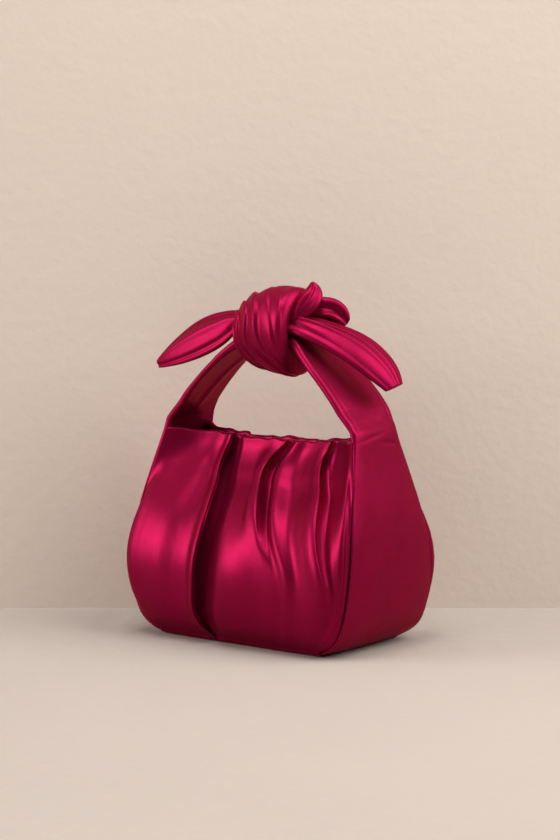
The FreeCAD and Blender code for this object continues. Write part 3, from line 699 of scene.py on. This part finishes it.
def lining_material():
    """Plain weave: two sets of fine threads that cross, in a dusty pink."""
    made, tree, principled = material("lining_cloth", (0.36, 0.07, 0.10), 0.75, Sheen_Weight=0.2)
    where = node(tree, "ShaderNodeTexCoord", (-1100, 0))
    height = node(tree, "ShaderNodeMath", (-500, -150), operation="ADD")
    for k, turned in enumerate(((0, 0, 0), (0, np.radians(90), 0))):
        turn = node(tree, "ShaderNodeMapping", (-900, -200 * k))
        turn.inputs["Rotation"].default_value = turned
        thread = node(tree, "ShaderNodeTexWave", (-700, -200 * k), bands_direction="Z")
        thread.inputs["Scale"].default_value = 420
        thread.inputs["Distortion"].default_value = 0.6
        tree.links.new(where.outputs["Object"], turn.inputs["Vector"])
        tree.links.new(turn.outputs["Vector"], thread.inputs["Vector"])
        tree.links.new(thread.outputs["Fac"], height.inputs[k])
    bump = node(tree, "ShaderNodeBump", (-250, -150))
    bump.inputs["Distance"].default_value = 0.00015
    tone = node(tree, "ShaderNodeMix", (-250, 100), data_type="RGBA")
    tone.inputs["A"].default_value = (0.30, 0.055, 0.085, 1)
    tone.inputs["B"].default_value = (0.40, 0.08, 0.115, 1)
    half = node(tree, "ShaderNodeMath", (-400, 100), operation="MULTIPLY")
    half.inputs[1].default_value = 0.5
    tree.links.new(height.outputs["Value"], half.inputs[0])
    tree.links.new(half.outputs["Value"], tone.inputs["Factor"])
    tree.links.new(tone.outputs["Result"], principled.inputs["Base Color"])
    tree.links.new(height.outputs["Value"], bump.inputs["Height"])
    tree.links.new(bump.outputs["Normal"], principled.inputs["Normal"])
    return made


lining_cloth = lining_material()
for side, mirrored in (("front", False), ("back", True)):
    sheet_grid = wall_cloth(low=7.8, high=103.0, reach=5.6, depth=4.8)
    if mirrored:
        sheet_grid = sheet_grid * [1, -1, 1]
    piece, flat, area = cloth(f"{side}_lining_cloth", sheet_grid, flip=not mirrored)
    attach(piece, f"{side}_mouth")
    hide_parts(f"{side}_lining")
for side, sign in (("right", 1), ("left", -1)):
    piece, flat, area = cloth(f"gusset_lining_cloth_{side}", end_cloth(sign), flip=sign > 0)
    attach(piece, "body")
    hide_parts(f"gusset_lining_{side}")
piece, flat, area = cloth("base_lining_cloth", base_cloth(), flip=False)
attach(piece, "body")
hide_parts("base_lining")
piece, flat, area = cloth("slip_pocket_cloth", pocket_cloth(), flip=False)
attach(piece, "back_mouth")
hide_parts("slip_pocket")

# ---- Magnetic snap and base board ------------------------------------------------------------
# The snap's two halves and their washers are turned brass, lightly brushed. The board is a
# stiff grey card that lies loose in the base tray.


def brushed_brass():
    """Brass with a brushed face: fine noise changes its roughness and its tone."""
    made, tree, principled = material("brushed_brass", (0.72, 0.50, 0.26), 0.3, Metallic=1.0)
    where = node(tree, "ShaderNodeTexCoord", (-900, 0))
    brush = node(tree, "ShaderNodeTexNoise", (-700, 0))
    brush.inputs["Scale"].default_value = 900
    brush.inputs["Detail"].default_value = 3
    rough = node(tree, "ShaderNodeMapRange", (-400, -100))
    rough.inputs["To Min"].default_value = 0.2
    rough.inputs["To Max"].default_value = 0.42
    tone = node(tree, "ShaderNodeMix", (-400, 150), data_type="RGBA")
    tone.inputs["A"].default_value = (0.66, 0.45, 0.22, 1)
    tone.inputs["B"].default_value = (0.78, 0.56, 0.31, 1)
    tree.links.new(where.outputs["Object"], brush.inputs["Vector"])
    tree.links.new(brush.outputs["Fac"], rough.inputs["Value"])
    tree.links.new(brush.outputs["Fac"], tone.inputs["Factor"])
    tree.links.new(rough.outputs["Result"], principled.inputs["Roughness"])
    tree.links.new(tone.outputs["Result"], principled.inputs["Base Color"])
    return made


brass = brushed_brass()
board = mottled("grey_board", (0.16, 0.14, 0.13), (0.24, 0.22, 0.20), 700, 0.0002)
for name, look, slot in (
    ("snap_socket", brass, "snap"), ("snap_stud", brass, "snap"),
    ("snap_washer_front", brass, "snap"), ("snap_washer_back", brass, "snap"),
    ("base_board", board, "board"),
):
    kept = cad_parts[name]
    kept.data.materials.clear()
    kept.data.materials.append(look)

# ---- Knot ------------------------------------------------------------------------------------
# The two straps are tied over the mouth: a broad wrap round the front, a folded loop behind
# it, and the two ends, which stand out as pointed tails. All are one length of padded satin.


def knot_wrap():
    """A surface turned about the bag's length: small on the left, full on the right, where it
    rolls in to a hole. Slanted folds, each with one steep side, stand on it."""
    # place along the bag, and radius
    profile = np.array([
        (-29.5, 6), (-28, 10.5), (-24.5, 16), (-17, 21), (-8, 24.3), (2, 26.3), (11, 27.2),
        (16.5, 26.6), (19.6, 23.5), (20, 19), (17.5, 14), (13, 9), (9, 5),
    ])
    steps = np.linspace(0, len(profile) - 1, 170)
    x, r = curve_through(np.arange(len(profile)), profile, steps).T[..., None]
    around = np.linspace(0, 2 * np.pi, 261)[:-1][None]
    front, top = np.sin(around), np.cos(around)
    s = steps[:, None] / 8.0
    slant = s - 0.55 * (1 - top) / 2 - 0.10 * np.sin(2 * around) * front
    folds = np.zeros_like(slant)
    # each fold's middle, height, soft side, steep side, and where round the turn it is fullest
    for middle, height, soft, steep, turn in (
        (-0.06, 2.0, 0.10, 0.022, 2.2), (0.08, 2.4, 0.10, 0.020, 0.9),
        (0.22, 2.2, 0.11, 0.020, 1.4), (0.36, 2.6, 0.12, 0.022, 0.7),
        (0.52, 2.0, 0.12, 0.024, 1.8), (0.68, 1.8, 0.14, 0.030, 0.6),
    ):
        across = slant - middle + 0.03 * np.sin(3 * around + 9 * middle)
        width = np.where(across < 0, soft, steep)
        folds += height * np.exp(-((across / width) ** 2)) * (0.55 + 0.45 * np.cos(around - turn))
    folds *= np.clip((9.2 - steps[:, None]) / 1.2, 0, 1)
    folds *= 1 - 0.8 * np.clip((x - 1) / 10, 0, 1) * np.clip((top + 0.25) / 0.8, 0, 1)
    axis_z, deep, tall = 196.6, 0.92, 1.02
    y = -(r * deep + folds) * front
    z = axis_z + (r * tall + folds) * top
    return np.stack(np.broadcast_arrays(x, y, z), -1)


wrap = grid_piece("knot_wrap_satin", closed_tips(knot_wrap()), round_columns=True)


def band(stations, across, cells, shape):
    """A padded band along a smooth line through its stations: place, width and thickness.
    Its section is flat with round edges, and shape adds folds to its faces."""
    stations = np.array(stations, float)
    along = np.linspace(0, 1, 90)[:, None]
    line = through_rows(stations, len(along))
    centre, width, thick = line[:, :3], line[:, 3:4], line[:, 4:5]
    run = unit(np.gradient(centre, axis=0))
    across = np.array(across, float)[None]
    across = unit(across - run * (across * run).sum(-1, keepdims=True))
    out = np.cross(run, across)
    w, t, edge = flat_ring(cells, 7)
    half, deep = width / 2, thick / 2
    side = w[None] * (half - deep) + edge[None] * deep
    share = side / half
    taper = 1 - 0.45 * np.abs(w[None]) ** 2.5
    lift = t[None] * deep * taper + shape(share, along, t[None])
    return centre[:, None] + across[:, None] * side[..., None] + out[:, None] * lift[..., None]


def crown_folds(share, along, face):
    """A crease from the root to near the tip, and a lip beside it."""
    fade = np.sin(np.pi * np.clip(along * 0.9 + 0.1, 0, 1)) ** 0.6
    crease = -2.2 * np.exp(-((share - 0.12) / 0.16) ** 2)
    lip = 0.9 * np.exp(-((share + 0.35) / 0.25) ** 2)
    return face * (crease + lip) * fade


def side_folds(share, along, face):
    """Two soft creases that fan out from the hole."""
    above = np.exp(-((share - 0.45 * along - 0.05) / 0.13) ** 2)
    below = np.exp(-((share + 0.5 * along + 0.1) / 0.13) ** 2)
    return -1.5 * face * (above + below)


crown = band([
    (20.5, -11.0, 203.5, 7, 6), (22.0, -9.0, 208.5, 12, 8), (24.0, -4.5, 214.0, 16.5, 9.5),
    (25.5, 0.0, 219.0, 15.5, 9), (24.8, 3.0, 223.6, 9.5, 6.5), (23.2, 4.0, 227.4, 2.6, 2.6),
], (0.80, 0.52, 0.22), 40, crown_folds)
side_lobe = band([
    (17.0, 2.0, 205.0, 16, 10), (24.5, 8.0, 207.5, 20, 13), (31.5, 12.5, 207.0, 21, 13.5),
    (37.0, 15.5, 204.0, 17, 11), (40.5, 17.0, 201.0, 8, 6),
], (-0.25, -0.25, 1), 40, side_folds)
crown, side_lobe = closed_tips(crown), closed_tips(side_lobe)
crown_faces = grid_faces(*crown.shape[:2], round_columns=True)
side_faces = grid_faces(*side_lobe.shape[:2], round_columns=True) + crown.shape[0] * crown.shape[1]
loop = mesh_piece(
    "knot_loop_satin", np.concatenate([crown.reshape(-1, 3), side_lobe.reshape(-1, 3)]),
    np.concatenate([crown_faces, side_faces]),
)


def left_tail_folds(share, along, face):
    """A ridge above the middle of the front face, a fold at the root, and a groove by the
    lower edge, each a bell curve across the tail."""
    swell = np.sin(np.pi * np.clip(along, 0, 1)) ** 0.7
    ridge = 1.6 * np.exp(-((share + 0.15) / 0.24) ** 2) * swell
    fold = -1.5 * np.exp(-((share + 0.62) / 0.10) ** 2) * np.clip(1 - 1.6 * along, 0, 1)
    groove = -1.3 * np.exp(-((share - 0.72) / 0.09) ** 2) + fold
    return (ridge + groove) * (face > 0)


def right_tail_folds(share, along, face):
    """A long crease with a raised lip beside it, both bell curves across the tail."""
    lip = 1.4 * np.exp(-((share - 0.1) / 0.16) ** 2)
    crease = -1.8 * np.exp(-((share - 0.34) / 0.08) ** 2)
    return (lip + crease) * (face > 0) * np.clip(1.2 - along, 0, 1)


tail_left = grid_piece("tail_left_satin", closed_tips(band([
    (-28.5, -3.0, 201.5, 12, 8), (-35.5, -3.2, 199.8, 19, 8.5), (-44.0, -3.6, 196.0, 25, 9),
    (-57.0, -4.5, 190.6, 28, 9), (-71.0, -5.5, 184.0, 25, 8), (-85.0, -6.0, 177.0, 17, 6.5),
    (-95.5, -6.0, 171.5, 8, 4.5),
], (0, -0.45, -1), 44, left_tail_folds)), round_columns=True)
tail_right = grid_piece("tail_right_satin", closed_tips(band([
    (15.0, -9.5, 202.0, 15, 9), (29.0, -6.5, 199.5, 20, 9.5), (44.0, -1.0, 194.0, 24, 9),
    (60.0, 5.0, 185.5, 27, 8), (73.5, 10.0, 173.5, 24, 7), (81.0, 12.0, 163.5, 15, 5),
], (0, 1, 0.6), 44, right_tail_folds)), round_columns=True)
knot_satin = satin("knot_satin", 0.14)
for piece, body, stands_for in (
    (wrap, "handle", "knot_wrap"), (loop, "handle", "knot_loop"),
    (tail_left, "tail_left", "tail_left"), (tail_right, "tail_right", "tail_right"),
):
    piece.data.materials.append(knot_satin)
    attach(piece, body)
    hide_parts(stands_for)
